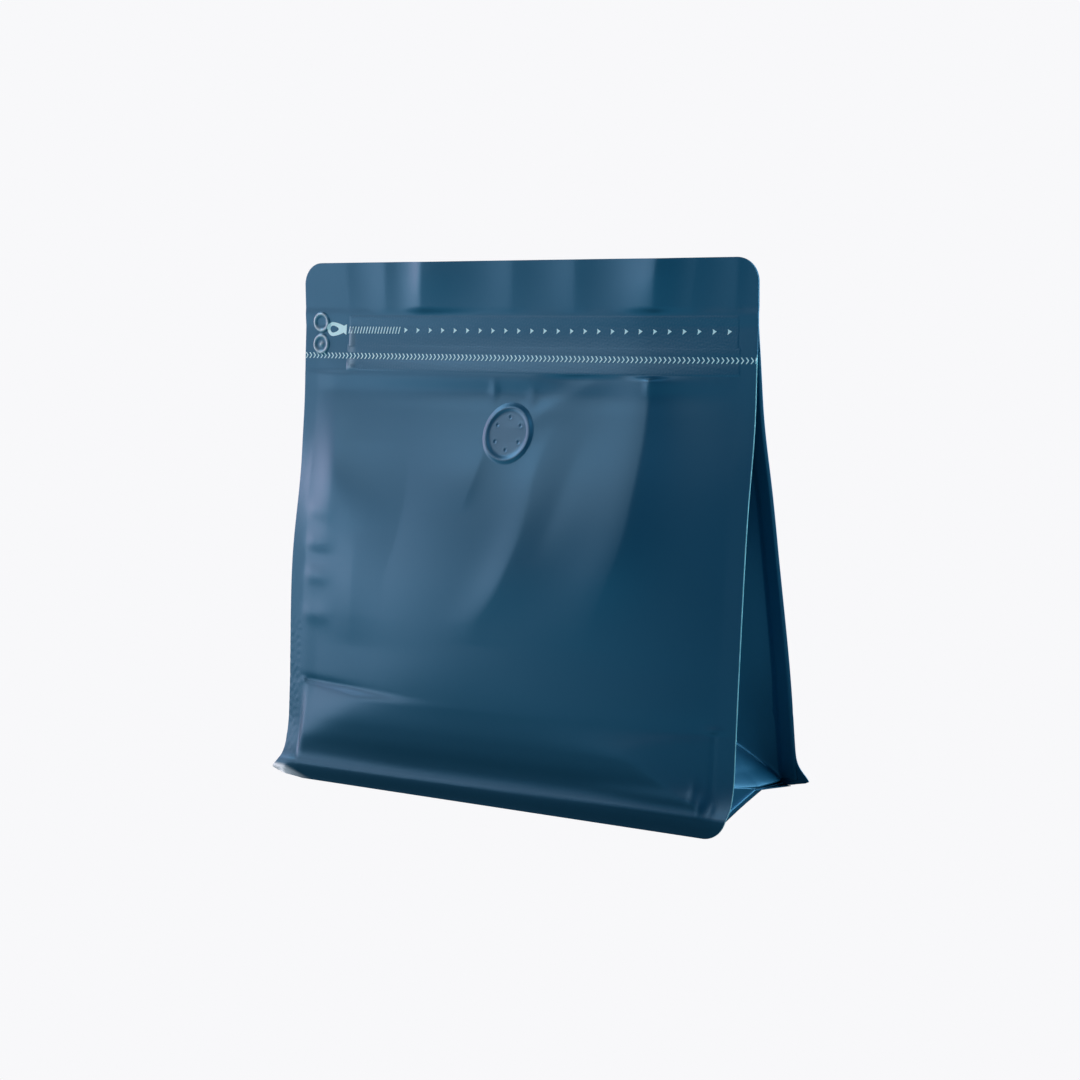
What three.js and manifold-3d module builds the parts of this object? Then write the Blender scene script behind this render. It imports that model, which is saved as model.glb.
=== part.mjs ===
// A square-bottom foil bag: a shut pouch of matte metallised film that stands by itself.
//
// Millimetres, +Z up. X runs along the width, the front panel faces -Y, and the origin is on the
// floor under the middle of the base.
//
// The real bag is film, about 0.15 mm thick, and its inside can't be seen. So the body is one solid
// out to the film: the front and back panels with their corner seams, bottom skirts and flat header.
// The folded side gussets and the hollow under the base are cut out of it. What is welded or cut
// into the front panel lies on that panel as pieces of its own.

import * as THREE from 'three';
import { mergeVertices } from 'three/addons/utils/BufferGeometryUtils.js';
import Module from 'manifold-3d';

const wasm = await Module();
wasm.setup();

// ---------------------------------------------------------------- driving dimensions

const PANEL_WIDTH = 200;
const BAG_HEIGHT = 200;
const BASE_HALF_DEPTH = 28.1;

const SEAM_WIDTH = 6.5;
const PLY = 0.8;
const HALF_HEADER = 0.6;
const HEADER_Z = 176;

const SKIRT_HEIGHT = 6.6;
const SKIRT_LEDGE = 3.5;
const LEDGE_LENGTH = 5;
const BASE_RISE = 5.1;

const TOP_CORNER_RADIUS = 10;
const BOTTOM_CORNER_RADIUS = 11;
const CURLED_TIP = 4;
const FRONT_TIP_Z = 3.2;
const FRONT_TIP_FOOT = 6;
const BACK_TIP_Z = 6.4;
const BACK_TIP_FOOT = 34;

const PANEL_BULGE = 8.8;
const FOLD_LINE_Z = 36;
const CORNER_FACET_SLOPE = 0.2;

const GUSSET_HALF_WIDTH = 28.3;
const GUSSET_FOLD_FOOT_Z = 34.5;
const END_SEAM_Z = 13.6;
const END_SEAM_TILT = 0.13;
const END_FLAP_EDGE_Z = 12.9;
const END_FLAP_FALL = 0.2;

const VALVE_RADIUS = 10.7;
const VALVE_X = 0.4;
const VALVE_Z = 137;

const ZIPPER_LEFT_X = -78.5;
const ZIPPER_RIGHT_X = 93;
const ZIPPER_LOW_Z = 158.8;
const ZIPPER_HIGH_Z = 167.8;
const STRIP_HIGH_Z = 180;

const TAB_X = -92;
const TAB_Z = 172.8;

const CLEARANCE = 0.4;

// ---------------------------------------------------------------- small helpers

const mix = THREE.MathUtils.lerp;
const ease = THREE.MathUtils.smoothstep;
const clamp = THREE.MathUtils.clamp;

/** A hump of height 1 at centre, which dies away within a few widths on both sides. */
function hump(value, centre, width) {
  const distance = (value - centre) / width;
  return Math.exp(-distance * distance);
}

/** Evenly spaced values over several spans: [[from, to, steps], ...], each span ends where the next starts. */
function spread(spans) {
  const values = [spans[0][0]];
  for (const [from, to, steps] of spans) {
    for (let step = 1; step <= steps; step += 1) {
      values.push(mix(from, to, step / steps));
    }
  }
  return values;
}

/** Signed volume of an indexed closed mesh: negative when its faces point in. */
function signedVolume(positions, indices) {
  const corners = [new THREE.Vector3(), new THREE.Vector3(), new THREE.Vector3()];
  let total = 0;
  for (let first = 0; first < indices.length; first += 3) {
    corners.forEach((corner, k) => corner.fromArray(positions, indices[first + k] * 3));
    total += corners[0].dot(corners[1].cross(corners[2])) / 6;
  }
  return total;
}

/** A closed mesh between two sheets of points, each given by a function of (column, row). */
function slab(columns, rows, nearSheet, farSheet) {
  const positions = [];
  const indices = [];
  for (const sheet of [nearSheet, farSheet]) {
    for (const row of rows) {
      for (const column of columns) {
        positions.push(...sheet(column, row));
      }
    }
  }
  const far = columns.length * rows.length;
  const at = (column, row) => row * columns.length + column;
  const quad = (a, b, c, d) => indices.push(a, b, c, a, c, d);
  const lastColumn = columns.length - 1;
  const lastRow = rows.length - 1;
  for (let row = 0; row < lastRow; row += 1) {
    for (let column = 0; column < lastColumn; column += 1) {
      const corners = [at(column, row), at(column + 1, row), at(column + 1, row + 1), at(column, row + 1)];
      quad(...corners);
      quad(...corners.map((corner) => corner + far).reverse());
    }
    quad(at(0, row) + far, at(0, row), at(0, row + 1), at(0, row + 1) + far);
    quad(at(lastColumn, row), at(lastColumn, row) + far, at(lastColumn, row + 1) + far, at(lastColumn, row + 1));
  }
  for (let column = 0; column < lastColumn; column += 1) {
    quad(at(column, 0) + far, at(column + 1, 0) + far, at(column + 1, 0), at(column, 0));
    quad(at(column, lastRow), at(column + 1, lastRow), at(column + 1, lastRow) + far, at(column, lastRow) + far);
  }
  if (signedVolume(positions, indices) < 0) {
    indices.reverse();
  }
  const geometry = new THREE.BufferGeometry();
  geometry.setAttribute('position', new THREE.Float32BufferAttribute(positions, 3));
  geometry.setIndex(indices);
  return geometry;
}

function toSolid(geometry) {
  const bare = geometry.clone();
  bare.deleteAttribute('normal');
  bare.deleteAttribute('uv');
  const merged = mergeVertices(bare, 1e-4);
  return new wasm.Manifold(new wasm.Mesh({
    numProp: 3,
    vertProperties: new Float32Array(merged.attributes.position.array),
    triVerts: new Uint32Array(merged.index.array),
  }));
}

function toGeometry(solid) {
  const mesh = solid.getMesh();
  const geometry = new THREE.BufferGeometry();
  geometry.setAttribute('position', new THREE.BufferAttribute(new Float32Array(mesh.vertProperties), 3));
  geometry.setIndex(new THREE.BufferAttribute(new Uint32Array(mesh.triVerts), 1));
  geometry.computeVertexNormals();
  return geometry;
}

// ---------------------------------------------------------------- the form of the film

/**
 * How far a corner seam stands from the middle plane. The skirt is upright, a narrow ledge above it
 * steps in, and from there the seams lean together until they are shut in the header.
 */
function seamDepth(z) {
  const taperDepth = BASE_HALF_DEPTH - SKIRT_LEDGE - HALF_HEADER;
  const closed = clamp(z / HEADER_Z, 0, 1);
  const taper = taperDepth * (1 - closed ** 1.4) ** 1.15;
  const aboveSkirt = Math.max(0, z - SKIRT_HEIGHT);
  return HALF_HEADER + taper + SKIRT_LEDGE * Math.exp(-aboveSkirt / LEDGE_LENGTH);
}

/**
 * How far the panel swells past its seams: evenly more from the skirt up to the line where the base
 * was folded flat, then less and less up to the zipper. Low down, its corners are flat facets.
 */
function swell(x, z) {
  const fromSeam = Math.max(0, PANEL_WIDTH / 2 - SEAM_WIDTH - Math.abs(x));
  const across = 1 - fromSeam / (PANEL_WIDTH / 2 - SEAM_WIDTH);
  const rise = clamp((z - SKIRT_HEIGHT - 1) / (FOLD_LINE_Z - SKIRT_HEIGHT - 1), 0, 1);
  const fall = 1 - ease(z, FOLD_LINE_Z + 34, ZIPPER_LOW_Z);
  const belly = PANEL_BULGE * rise * fall * (1 - across ** 2.4);
  const facet = CORNER_FACET_SLOPE * fromSeam * (1 + 2 * ease(z, FOLD_LINE_Z, FOLD_LINE_Z + 20));
  return Math.min(belly, facet);
}

/** The folds of the face: the ridge under the zipper's right end, and the hollow beside the valve. */
function folds(x, z) {
  const underZipper = ease(z, 80, 150) * (1 - ease(z, ZIPPER_LOW_Z - 6, ZIPPER_LOW_Z));
  const ridge = 2.2 * hump(x, mix(40, 51, ease(z, 80, 150)), 11) * underZipper;
  const hollow = 1.4 * hump(x, VALVE_X - 15 - (VALVE_Z - z) * 0.35, 8) * hump(z, 110, 24);
  return ridge - hollow;
}

/** The flutes of the header, where both panels lie together and wave as one sheet. */
function headerWave(x, z) {
  const free = ease(z, HEADER_Z + 4, BAG_HEIGHT);
  const sharpFold = hump(x, -48, 5) + hump(x, 52, 7);
  return free * (0.7 * Math.sin(x / 6.5) + 0.9 * sharpFold);
}

function panelDepth(x, z) {
  return seamDepth(z) + swell(x, z) + folds(x, z);
}

/** Half-width of a panel whose bottom corner is round: the front's right side, the back's left. */
function roundReach(z) {
  const half = PANEL_WIDTH / 2;
  const aboveTop = Math.max(0, z - (BAG_HEIGHT - TOP_CORNER_RADIUS));
  const belowBottom = Math.max(0, BOTTOM_CORNER_RADIUS - z);
  const top = TOP_CORNER_RADIUS - Math.sqrt(TOP_CORNER_RADIUS ** 2 - aboveTop ** 2);
  const bottom = BOTTOM_CORNER_RADIUS - Math.sqrt(BOTTOM_CORNER_RADIUS ** 2 - belowBottom ** 2);
  return half - top - bottom * 0.8;
}

/**
 * Half-width of a panel whose bottom corner curls outwards to a tip at height tipZ: the front's left
 * side, and the back's right side, which is lifted off the floor over a length of foot.
 */
function curledReach(z, tipZ, foot) {
  const tip = CURLED_TIP * hump(z, tipZ, 4.5);
  const lift = foot * (1 - clamp(z / tipZ, 0, 1) ** 0.7);
  const top = PANEL_WIDTH / 2 - roundReach(Math.max(z, BAG_HEIGHT / 2));
  return PANEL_WIDTH / 2 - top + tip - lift;
}

/** The underside of the base: a shallow ridge along its middle crease, where the bag was folded flat. */
function baseHeight(y) {
  return SKIRT_HEIGHT + BASE_RISE * (1 - Math.abs(y) / BASE_HALF_DEPTH);
}

/** The seam where a gusset meets the end of the base: higher towards the front. */
function endSeamHeight(y) {
  return END_SEAM_Z - END_SEAM_TILT * y;
}

/** The free edge of the flap that hangs from that seam: highest in the middle. */
function endFlapHeight(y) {
  return END_FLAP_EDGE_Z - END_FLAP_FALL * Math.abs(y);
}

// ---------------------------------------------------------------- the body

const SEAM_SHARE = SEAM_WIDTH / PANEL_WIDTH;
const PANEL_COLUMNS = spread([
  [0, SEAM_SHARE, 2],
  [SEAM_SHARE, 0.5, 13],
  [0.5, 1 - SEAM_SHARE, 13],
  [1 - SEAM_SHARE, 1, 2],
]);
const PANEL_ROWS = spread([
  [0, SKIRT_HEIGHT, 5],
  [SKIRT_HEIGHT, SKIRT_HEIGHT + 2 * LEDGE_LENGTH, 4],
  [SKIRT_HEIGHT + 2 * LEDGE_LENGTH, FOLD_LINE_Z, 3],
  [FOLD_LINE_Z, ZIPPER_LOW_Z, 11],
  [ZIPPER_LOW_Z, BAG_HEIGHT - TOP_CORNER_RADIUS, 6],
  [BAG_HEIGHT - TOP_CORNER_RADIUS, BAG_HEIGHT, 5],
]);

/** The bag before its gussets and base are cut: all between the front film and the back film. */
function makeEnvelope() {
  const frontSheet = (share, z) => {
    const x = mix(-curledReach(z, FRONT_TIP_Z, FRONT_TIP_FOOT), roundReach(z), share);
    return [x, headerWave(x, z) - panelDepth(x, z), z];
  };
  const backSheet = (share, z) => {
    const x = mix(-roundReach(z), curledReach(z, BACK_TIP_Z, BACK_TIP_FOOT), share);
    return [x, headerWave(x, z) + panelDepth(-x, z), z];
  };
  return toSolid(slab(PANEL_COLUMNS, PANEL_ROWS, frontSheet, backSheet));
}

/** The space outside one folded side gusset; side is 1 on the right and -1 on the left. */
function makeGussetSpace(side) {
  const seamRoot = PANEL_WIDTH / 2 - SEAM_WIDTH;
  const outside = PANEL_WIDTH / 2 + CURLED_TIP + 1;
  const acrossShares = spread([[-1, 0, 8], [0, 1, 8]]);
  const upShares = spread([[0, 0.16, 4], [0.16, 1, 7]]);
  const topZ = HEADER_Z - 6;
  const halfMouth = (z) => seamDepth(z) - PLY;
  const seamLevel = (across) => endSeamHeight(across * halfMouth(END_SEAM_Z));
  const level = (across, up) => mix(seamLevel(across), topZ, up);
  const innerSheet = (across, up) => {
    const z = level(across, up);
    const mouth = halfMouth(z);
    const webDepth = Math.sqrt(GUSSET_HALF_WIDTH ** 2 - mouth ** 2);
    const slope = webDepth / (GUSSET_FOLD_FOOT_Z - END_SEAM_Z);
    const facetDepth = Math.max(0, z - seamLevel(across)) * slope;
    const depth = Math.min(webDepth * (1 - Math.abs(across)), facetDepth);
    return [side * (seamRoot - depth), across * mouth, z];
  };
  const outerSheet = (across, up) => {
    const z = level(across, up);
    const y = across * halfMouth(END_SEAM_Z);
    const flapFall = endSeamHeight(y) - endFlapHeight(y);
    const drop = flapFall * (outside - seamRoot) / SEAM_WIDTH;
    return [side * outside, across * halfMouth(z), z - drop * (1 - up)];
  };
  return toSolid(slab(acrossShares, upShares, innerSheet, outerSheet));
}

/** The space under the base, between the front and back skirts. */
function makeSpaceUnderBase() {
  const lengthShares = spread([[-1, 1, 1]]);
  const acrossShares = spread([[-1, 0, 2], [0, 1, 2]]);
  const reach = PANEL_WIDTH / 2 + CURLED_TIP + 1;
  const below = -1;
  const floorSheet = (along, across) => [along * reach, across * (seamDepth(0) - PLY), below];
  const roofSheet = (along, across) => {
    const y = across * (seamDepth(SKIRT_HEIGHT) - PLY);
    return [along * reach, y, baseHeight(y)];
  };
  return toSolid(slab(lengthShares, acrossShares, floorSheet, roofSheet));
}

function makeBody() {
  const cut = makeEnvelope()
    .subtract(makeGussetSpace(1))
    .subtract(makeGussetSpace(-1))
    .subtract(makeSpaceUnderBase());
  return toGeometry(cut);
}

// ---------------------------------------------------------------- pieces on the front panel

/** Lays a piece that was modelled flat, face towards -Y, on the front panel. */
function drape(geometry) {
  const position = geometry.attributes.position;
  for (let index = 0; index < position.count; index += 1) {
    const x = position.getX(index);
    const z = position.getZ(index);
    const surface = headerWave(x, z) - panelDepth(x, z);
    position.setY(index, position.getY(index) + surface - CLEARANCE);
  }
  geometry.computeVertexNormals();
  return geometry;
}

/** A long flat band with a raised profile, given by height above its back as a function of share. */
function makeBand(leftX, rightX, lowZ, highZ, profile) {
  const columns = spread([[leftX, rightX, 24]]);
  const rows = spread([[0, 1, 8]]);
  const face = (x, share) => [x, -profile(share), mix(lowZ, highZ, share)];
  const back = (x, share) => [x, 0, mix(lowZ, highZ, share)];
  return drape(slab(columns, rows, face, back));
}

/** The press-to-close zipper: a welded flange with the locking rib along its middle. */
function makeZipper() {
  const flange = 0.5;
  const rib = 0.7;
  return makeBand(ZIPPER_LEFT_X, ZIPPER_RIGHT_X, ZIPPER_LOW_Z, ZIPPER_HIGH_Z,
    (share) => flange + rib * hump(share, 0.62, 0.2));
}

/** The tear-off strip above the zipper, a little thicker along its edges. */
function makeTearStrip() {
  const film = 0.5;
  const edge = 0.25;
  return makeBand(ZIPPER_LEFT_X, ZIPPER_RIGHT_X, ZIPPER_HIGH_Z + CLEARANCE, STRIP_HIGH_Z,
    (share) => film + edge * (hump(share, 0.08, 0.1) + hump(share, 0.92, 0.1)));
}

/** The pull tab: two round lobes, one over the other, that meet in a narrow waist. */
function makePullTab() {
  const lobeRadius = 3.9;
  const lobeOffset = 4.3;
  const thickness = 0.6;
  const waist = Math.acos(lobeOffset / (lobeRadius * 1.18));
  const outline = new THREE.Shape();
  outline.absarc(0, lobeOffset, lobeRadius, -Math.PI / 2 + waist, Math.PI * 1.5 - waist, false);
  outline.absarc(0, -lobeOffset, lobeRadius, Math.PI / 2 + waist, Math.PI * 2.5 - waist, false);
  outline.closePath();
  const plate = new THREE.ExtrudeGeometry(outline, { depth: thickness, bevelEnabled: false, curveSegments: 20 });
  plate.rotateX(Math.PI / 2);
  plate.translate(TAB_X, 0, TAB_Z);
  return drape(plate);
}

/** The degassing valve: a disc with a raised rim and six dimples around its middle. */
function makeValve() {
  const disc = 0.7;
  const rim = 1.3;
  const rimWidth = 2.4;
  const dimpleCount = 6;
  const dimpleCircle = 5.9;
  const innerRadius = VALVE_RADIUS - rimWidth;
  const profile = [
    new THREE.Vector2(0, 0),
    new THREE.Vector2(VALVE_RADIUS, 0),
    new THREE.Vector2(VALVE_RADIUS, rim - 0.5),
    new THREE.Vector2(VALVE_RADIUS - 0.5, rim - 0.1),
    new THREE.Vector2(VALVE_RADIUS - rimWidth / 2, rim),
    new THREE.Vector2(innerRadius + 0.4, rim - 0.2),
    new THREE.Vector2(innerRadius, disc),
    new THREE.Vector2(0, disc),
  ];
  let solid = toSolid(new THREE.LatheGeometry(profile, 40));
  if (solid.volume() < 0) {
    throw new Error('the valve profile is inside out');
  }
  for (let index = 0; index < dimpleCount; index += 1) {
    const angle = (index + 0.5) * Math.PI * 2 / dimpleCount;
    const dimple = new THREE.SphereGeometry(0.8, 10, 6);
    dimple.translate(dimpleCircle * Math.cos(angle), disc + 0.45, dimpleCircle * Math.sin(angle));
    solid = solid.subtract(toSolid(dimple));
  }
  const geometry = toGeometry(solid);
  geometry.rotateX(Math.PI);
  geometry.translate(VALVE_X, 0, VALVE_Z);
  return drape(geometry);
}

// ---------------------------------------------------------------- the scene graph

const film = new THREE.MeshStandardMaterial({ color: 0x24506c, roughness: 0.42, metalness: 0.55 });
const weldedFilm = new THREE.MeshStandardMaterial({ color: 0x2c5873, roughness: 0.4, metalness: 0.5 });
const valveFilm = new THREE.MeshStandardMaterial({ color: 0x2f5d7a, roughness: 0.38, metalness: 0.5 });

function piece(name, geometry, material) {
  const mesh = new THREE.Mesh(geometry, material);
  mesh.name = name;
  return mesh;
}

const frontFittings = new THREE.Group();
frontFittings.add(piece('press_zipper', makeZipper(), weldedFilm));
frontFittings.add(piece('tear_strip', makeTearStrip(), weldedFilm));
frontFittings.add(piece('pull_tab', makePullTab(), weldedFilm));
frontFittings.add(piece('degassing_valve', makeValve(), valveFilm));

const bag = new THREE.Group();
bag.add(piece('bag_body', makeBody(), film));
bag.add(frontFittings);

export default bag;
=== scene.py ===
# %% [markdown]
# # A square-bottom foil bag
#
# A shut pouch of matte metallised film. It stands by itself on two skirts and a folded base. Its looks
# come from three things: thin film that is creased and swollen, a satin lacquer that spreads every
# light into a soft glow, and small white print. This lesson makes them in that order: the form, the
# pieces of film, what is welded into the front, the print, and last the finish and the light.

# %% Tools
import math

import bpy
import numpy as np
from mathutils import Matrix, Vector


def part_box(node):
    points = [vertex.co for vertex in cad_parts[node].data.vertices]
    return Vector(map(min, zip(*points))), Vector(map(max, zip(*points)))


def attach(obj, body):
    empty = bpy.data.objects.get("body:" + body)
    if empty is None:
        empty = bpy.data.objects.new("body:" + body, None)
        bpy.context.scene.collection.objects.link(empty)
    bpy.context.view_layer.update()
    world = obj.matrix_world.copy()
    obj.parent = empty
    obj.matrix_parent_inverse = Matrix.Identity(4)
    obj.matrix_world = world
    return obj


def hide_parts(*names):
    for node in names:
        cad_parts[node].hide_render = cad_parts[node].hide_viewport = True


# %% [markdown]
# ## The frame
#
# The solid model says where everything is. Each piece made here stands for one of its nodes and keeps
# that node's place. Form is worked out in millimetres and turned into metres where a mesh is made.

# %% Load the frame
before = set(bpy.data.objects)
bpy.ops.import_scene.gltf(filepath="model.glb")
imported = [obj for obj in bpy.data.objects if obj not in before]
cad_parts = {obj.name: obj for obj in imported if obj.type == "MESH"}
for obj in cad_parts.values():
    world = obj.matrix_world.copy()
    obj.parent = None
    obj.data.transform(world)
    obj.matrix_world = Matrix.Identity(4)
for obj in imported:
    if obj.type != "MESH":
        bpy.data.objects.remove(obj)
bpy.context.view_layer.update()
MM = 0.001
body_low, body_high = (np.array(corner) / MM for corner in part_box("bag_body"))
BAG_HEIGHT = float(body_high[2])
print("the frame is", np.round(body_high - body_low, 1), "mm")

# %% [markdown]
# ## The camera
#
# The camera comes first, so that every later picture is taken from the same place. It stands to the
# right of the bag and a little above it, and is rolled by a degree or so, as in the photograph.

# %% Camera
CAMERA_AZIMUTH = math.radians(33.255)
CAMERA_ELEVATION = math.radians(8.279)
CAMERA_ROLL = math.radians(-1.415)
CAMERA_DISTANCE = 802.7
CAMERA_LENS = 71.49
AIM_HEIGHT = 100.1
AIM_SHIFT_RIGHT = 6.243
AIM_SHIFT_UP = -4.155


def outwards(azimuth, elevation):
    """The direction away from the bag at an azimuth, which is 0 in front and grows to the right."""
    level = math.cos(elevation)
    return Vector((math.sin(azimuth) * level, -math.cos(azimuth) * level, math.sin(elevation)))


def add_object(name, data):
    """A new object at the origin, in the scene."""
    item = bpy.data.objects.new(name, data)
    bpy.context.scene.collection.objects.link(item)
    return item


def make_camera():
    """Puts the camera on a sphere round the middle of the bag, shifted a little along its own axes."""
    back = outwards(CAMERA_AZIMUTH, CAMERA_ELEVATION)
    right = Vector((math.cos(CAMERA_AZIMUTH), math.sin(CAMERA_AZIMUTH), 0))
    up = back.cross(right)
    turned_right = right * math.cos(CAMERA_ROLL) + up * math.sin(CAMERA_ROLL)
    turned_up = up * math.cos(CAMERA_ROLL) - right * math.sin(CAMERA_ROLL)
    place = Vector((0, 0, AIM_HEIGHT)) + back * CAMERA_DISTANCE + right * AIM_SHIFT_RIGHT + up * AIM_SHIFT_UP
    camera = add_object("camera", bpy.data.cameras.new("camera"))
    turn = Matrix((turned_right, turned_up, back)).transposed().to_4x4()
    camera.matrix_world = Matrix.Translation(place * MM) @ turn
    camera.data.lens = CAMERA_LENS
    camera.data.sensor_width = 36
    camera.data.clip_start = 0.01
    bpy.context.scene.camera = camera
    return camera


print("camera at", [round(value, 3) for value in make_camera().matrix_world.translation])

# %% [markdown]
# ## The form of the film
#
# A filled pouch can't be drawn with flat boards, but its form still follows rules. Seen from the side,
# the four corner seams lean together from the skirt to the header. Between its seams each panel swells.
# On top of that lie folds: a fold has a crest that runs along the film, a height, and two flanks that
# may differ, because film breaks sharply on one side and eases away on the other. So one function for
# a fold, used many times, makes every crease here. The other way, a cloth simulation, would put its
# folds anywhere, and these have to lie where the real ones do.

# %% Sizes of the bag
PANEL_WIDTH = 200.0
HALF_WIDTH = PANEL_WIDTH / 2
BASE_HALF_DEPTH = 28.1
SEAM_WIDTH = 6.5
SEAM_ROOT = HALF_WIDTH - SEAM_WIDTH
FILM = 0.3
HALF_HEADER = 0.36
HEADER_Z = 176.0
SKIRT_HEIGHT = 6.5
SKIRT_LEDGE = 3.5
LEDGE_LENGTH = 5.0
SKIRT_TUCK = 0.8
PINCH_Z = 142.0
PINCH_DEPTH = 1.7
PINCH_REACH = 20.0
TOP_CORNER_RADIUS = 8.5
BOTTOM_CORNER_RADIUS = 12.0
BOTTOM_CORNER_SHARE = 0.85
CURLED_TIP = 3.6
FRONT_TIP_Z = 3.2
FRONT_TIP_CUT = 11.0
BACK_TIP_Z = 8.4
BACK_TIP_FOOT = 31.0
FOLD_LINE_Z = 36.0
FACET_TOP_Z = 38.4
FACET_SLOPE = 0.18
FACET_DROP = 0.13
FACET_GIVE = 9.0
BELLY = (
    # height and how far the middle of a panel stands in front of its seams
    (7.0, 0), (10, 0.9), (14, 2.3), (18, 3.6), (24, 4.9), (36, 6.3), (50, 7.6), (66, 8.6), (84, 9.1),
    (104, 8.3), (126, 5.9), (144, 3.3), (151, 2.0), (157.5, 2.5), (163, 1.4), (168, 0.5), (172, 0.2),
    (176, 0.3), (181, 0),
)
BEND_X = 52.0
BEND_SLOPE = 0.065
BEND_SOFTNESS = 3.0
BEND_DRAW = 0.655
ZIPPER_LOW_Z = 158.8
ZIPPER_ROW_Z = 164.2
print("panel", PANEL_WIDTH, "x", BAG_HEIGHT, "mm, film", FILM, "mm")

# %% Helpers for form


def ease(value, low, high):
    """0 below low, 1 above high, and a smooth step between them."""
    share = np.clip((value - low) / (high - low), 0, 1)
    return share * share * (3 - 2 * share)


def hump(value, centre, width):
    """A bump of height 1 at centre that dies away within a few widths."""
    return np.exp(-((value - centre) / width) ** 2)


def softer_of(first, second, softness):
    """The lower of two heights, with the edge where they cross rounded off."""
    return -softness * np.logaddexp(-first / softness, -second / softness)


def along(value, knots):
    """A smooth curve through knots (value, result), level outside them. A plain number stays that number."""
    if not hasattr(knots, "__len__"):
        return knots
    places, results = (np.array(column, float) for column in zip(*knots))
    slopes = np.gradient(results, places)
    value = np.clip(value, places[0], places[-1])
    left = np.clip(np.searchsorted(places, value) - 1, 0, len(places) - 2)
    span = places[left + 1] - places[left]
    t = (value - places[left]) / span
    start = (1 + 2 * t) * (1 - t) ** 2 * results[left] + t * (1 - t) ** 2 * span * slopes[left]
    end = t * t * (3 - 2 * t) * results[left + 1] + t * t * (t - 1) * span * slopes[left + 1]
    return start + end


def fold(across, run, crest, height, low_side, high_side, low_power=1.2, high_power=1.2):
    """A fold: its crest lies at along(run, crest), and its flanks die away over low_side and high_side."""
    offset = across - along(run, crest)
    reach = np.where(offset < 0, along(run, low_side), along(run, high_side))
    power = np.where(offset < 0, low_power, high_power)
    return along(run, height) * np.exp(-(np.abs(offset) / reach) ** power)


def grain(x, z, pitch, seed):
    """The pebbled print of a welding bar: short waves crossed at odd angles."""
    random = np.random.default_rng(seed)
    total = np.zeros(np.broadcast(x, z).shape)
    waves = 7
    for _ in range(waves):
        angle, phase = random.uniform(0, math.pi), random.uniform(0, 2 * math.pi)
        stretch = random.uniform(0.8, 1.4)
        total += np.sin((x * math.cos(angle) + z * math.sin(angle)) * 2 * math.pi / (pitch * stretch) + phase)
    return total / math.sqrt(waves)


print("an eased step passes", float(ease(0.5, 0, 1)), "at its middle")

# %% Outline and swell of a panel


def seam_depth(z):
    """How far a corner seam stands from the middle plane, at each height."""
    closed = np.clip(z / HEADER_Z, 0, 1)
    taper = (BASE_HALF_DEPTH - SKIRT_LEDGE - HALF_HEADER) * (1 - closed ** 1.4) ** 1.15
    ledge = SKIRT_LEDGE * np.exp(-np.maximum(0, z - SKIRT_HEIGHT) / LEDGE_LENGTH)
    tuck = SKIRT_TUCK * (1 - ease(z, 0, SKIRT_HEIGHT))
    return HALF_HEADER + taper + ledge - tuck - PINCH_DEPTH * hump(z, PINCH_Z, PINCH_REACH)


def low_left_facet(from_seam, z):
    """The flat facet between the left seam and the old fold line: the film there is no higher than this."""
    below = np.maximum(0, FACET_TOP_Z - z) * ease(from_seam, 0, 5)
    give = FACET_GIVE * ease(z, FACET_TOP_Z - 0.6, FACET_TOP_Z + 9)
    return FACET_SLOPE * from_seam + FACET_DROP * below + give


def swell(x, z):
    """How far a panel swells past its seams. Low down a flat facet runs into either corner."""
    from_seam = np.maximum(0, SEAM_ROOT - np.abs(x))
    across = 1 - from_seam / SEAM_ROOT
    roundness = 3.0 - 0.8 * ease(z, FOLD_LINE_Z - 3, 58)
    rounding = np.where(x < 0, ease(z, FACET_TOP_Z - 4, FACET_TOP_Z), ease(z, FOLD_LINE_Z - 12, FOLD_LINE_Z))
    belly = along(z, BELLY) * (1 - across ** roundness * rounding)
    right_facet = 6.6 * (1 - across ** 3) + 2.2 * (1 - across) ** 2 + 0.5 * np.maximum(0, z - FOLD_LINE_Z)
    facet = np.where(x < 0, low_left_facet(from_seam, z), right_facet)
    softness = np.where(x < 0, 0.8, 0.2)
    return np.maximum(0, softer_of(belly, facet, softness) + 0.1)


def round_reach(z):
    """Half-width of a panel on a side where its bottom corner is round."""
    above = np.maximum(0, z - (BAG_HEIGHT - TOP_CORNER_RADIUS))
    below = np.maximum(0, BOTTOM_CORNER_RADIUS - z)
    top = TOP_CORNER_RADIUS - np.sqrt(np.maximum(0, TOP_CORNER_RADIUS ** 2 - above ** 2))
    bottom = BOTTOM_CORNER_RADIUS - np.sqrt(np.maximum(0, BOTTOM_CORNER_RADIUS ** 2 - below ** 2))
    return HALF_WIDTH - top - bottom * BOTTOM_CORNER_SHARE


def front_left_reach(z):
    """Half-width of the front on the left, where its bottom corner ends in a tip just off the floor."""
    cut = FRONT_TIP_CUT * (1 - np.clip(z / FRONT_TIP_Z, 0, 1)) ** 1.2
    return round_reach(np.maximum(z, BAG_HEIGHT / 2)) - cut


def back_right_reach(z):
    """Half-width of the back on the right, where its bottom edge sweeps up and out to a tip."""
    lift = BACK_TIP_FOOT * (1 - np.clip(z / BACK_TIP_Z, 0, 1) ** 1.6)
    return round_reach(np.maximum(z, BAG_HEIGHT / 2)) + CURLED_TIP * hump(z, BACK_TIP_Z, 5.5) - lift


def turn_left_front(x, z):
    """The front's left border leans back, most of all low down. Gives how far it goes to +Y."""
    fin = np.maximum(0, -SEAM_ROOT - x)
    low = ease(z, 2, 24) * (1 - ease(z, 30, 92))
    return low * (1.0 * ease(-x, 30, SEAM_ROOT) + 0.2 * fin) + 0.26 * fin * hump(z, 116, 20)


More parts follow.
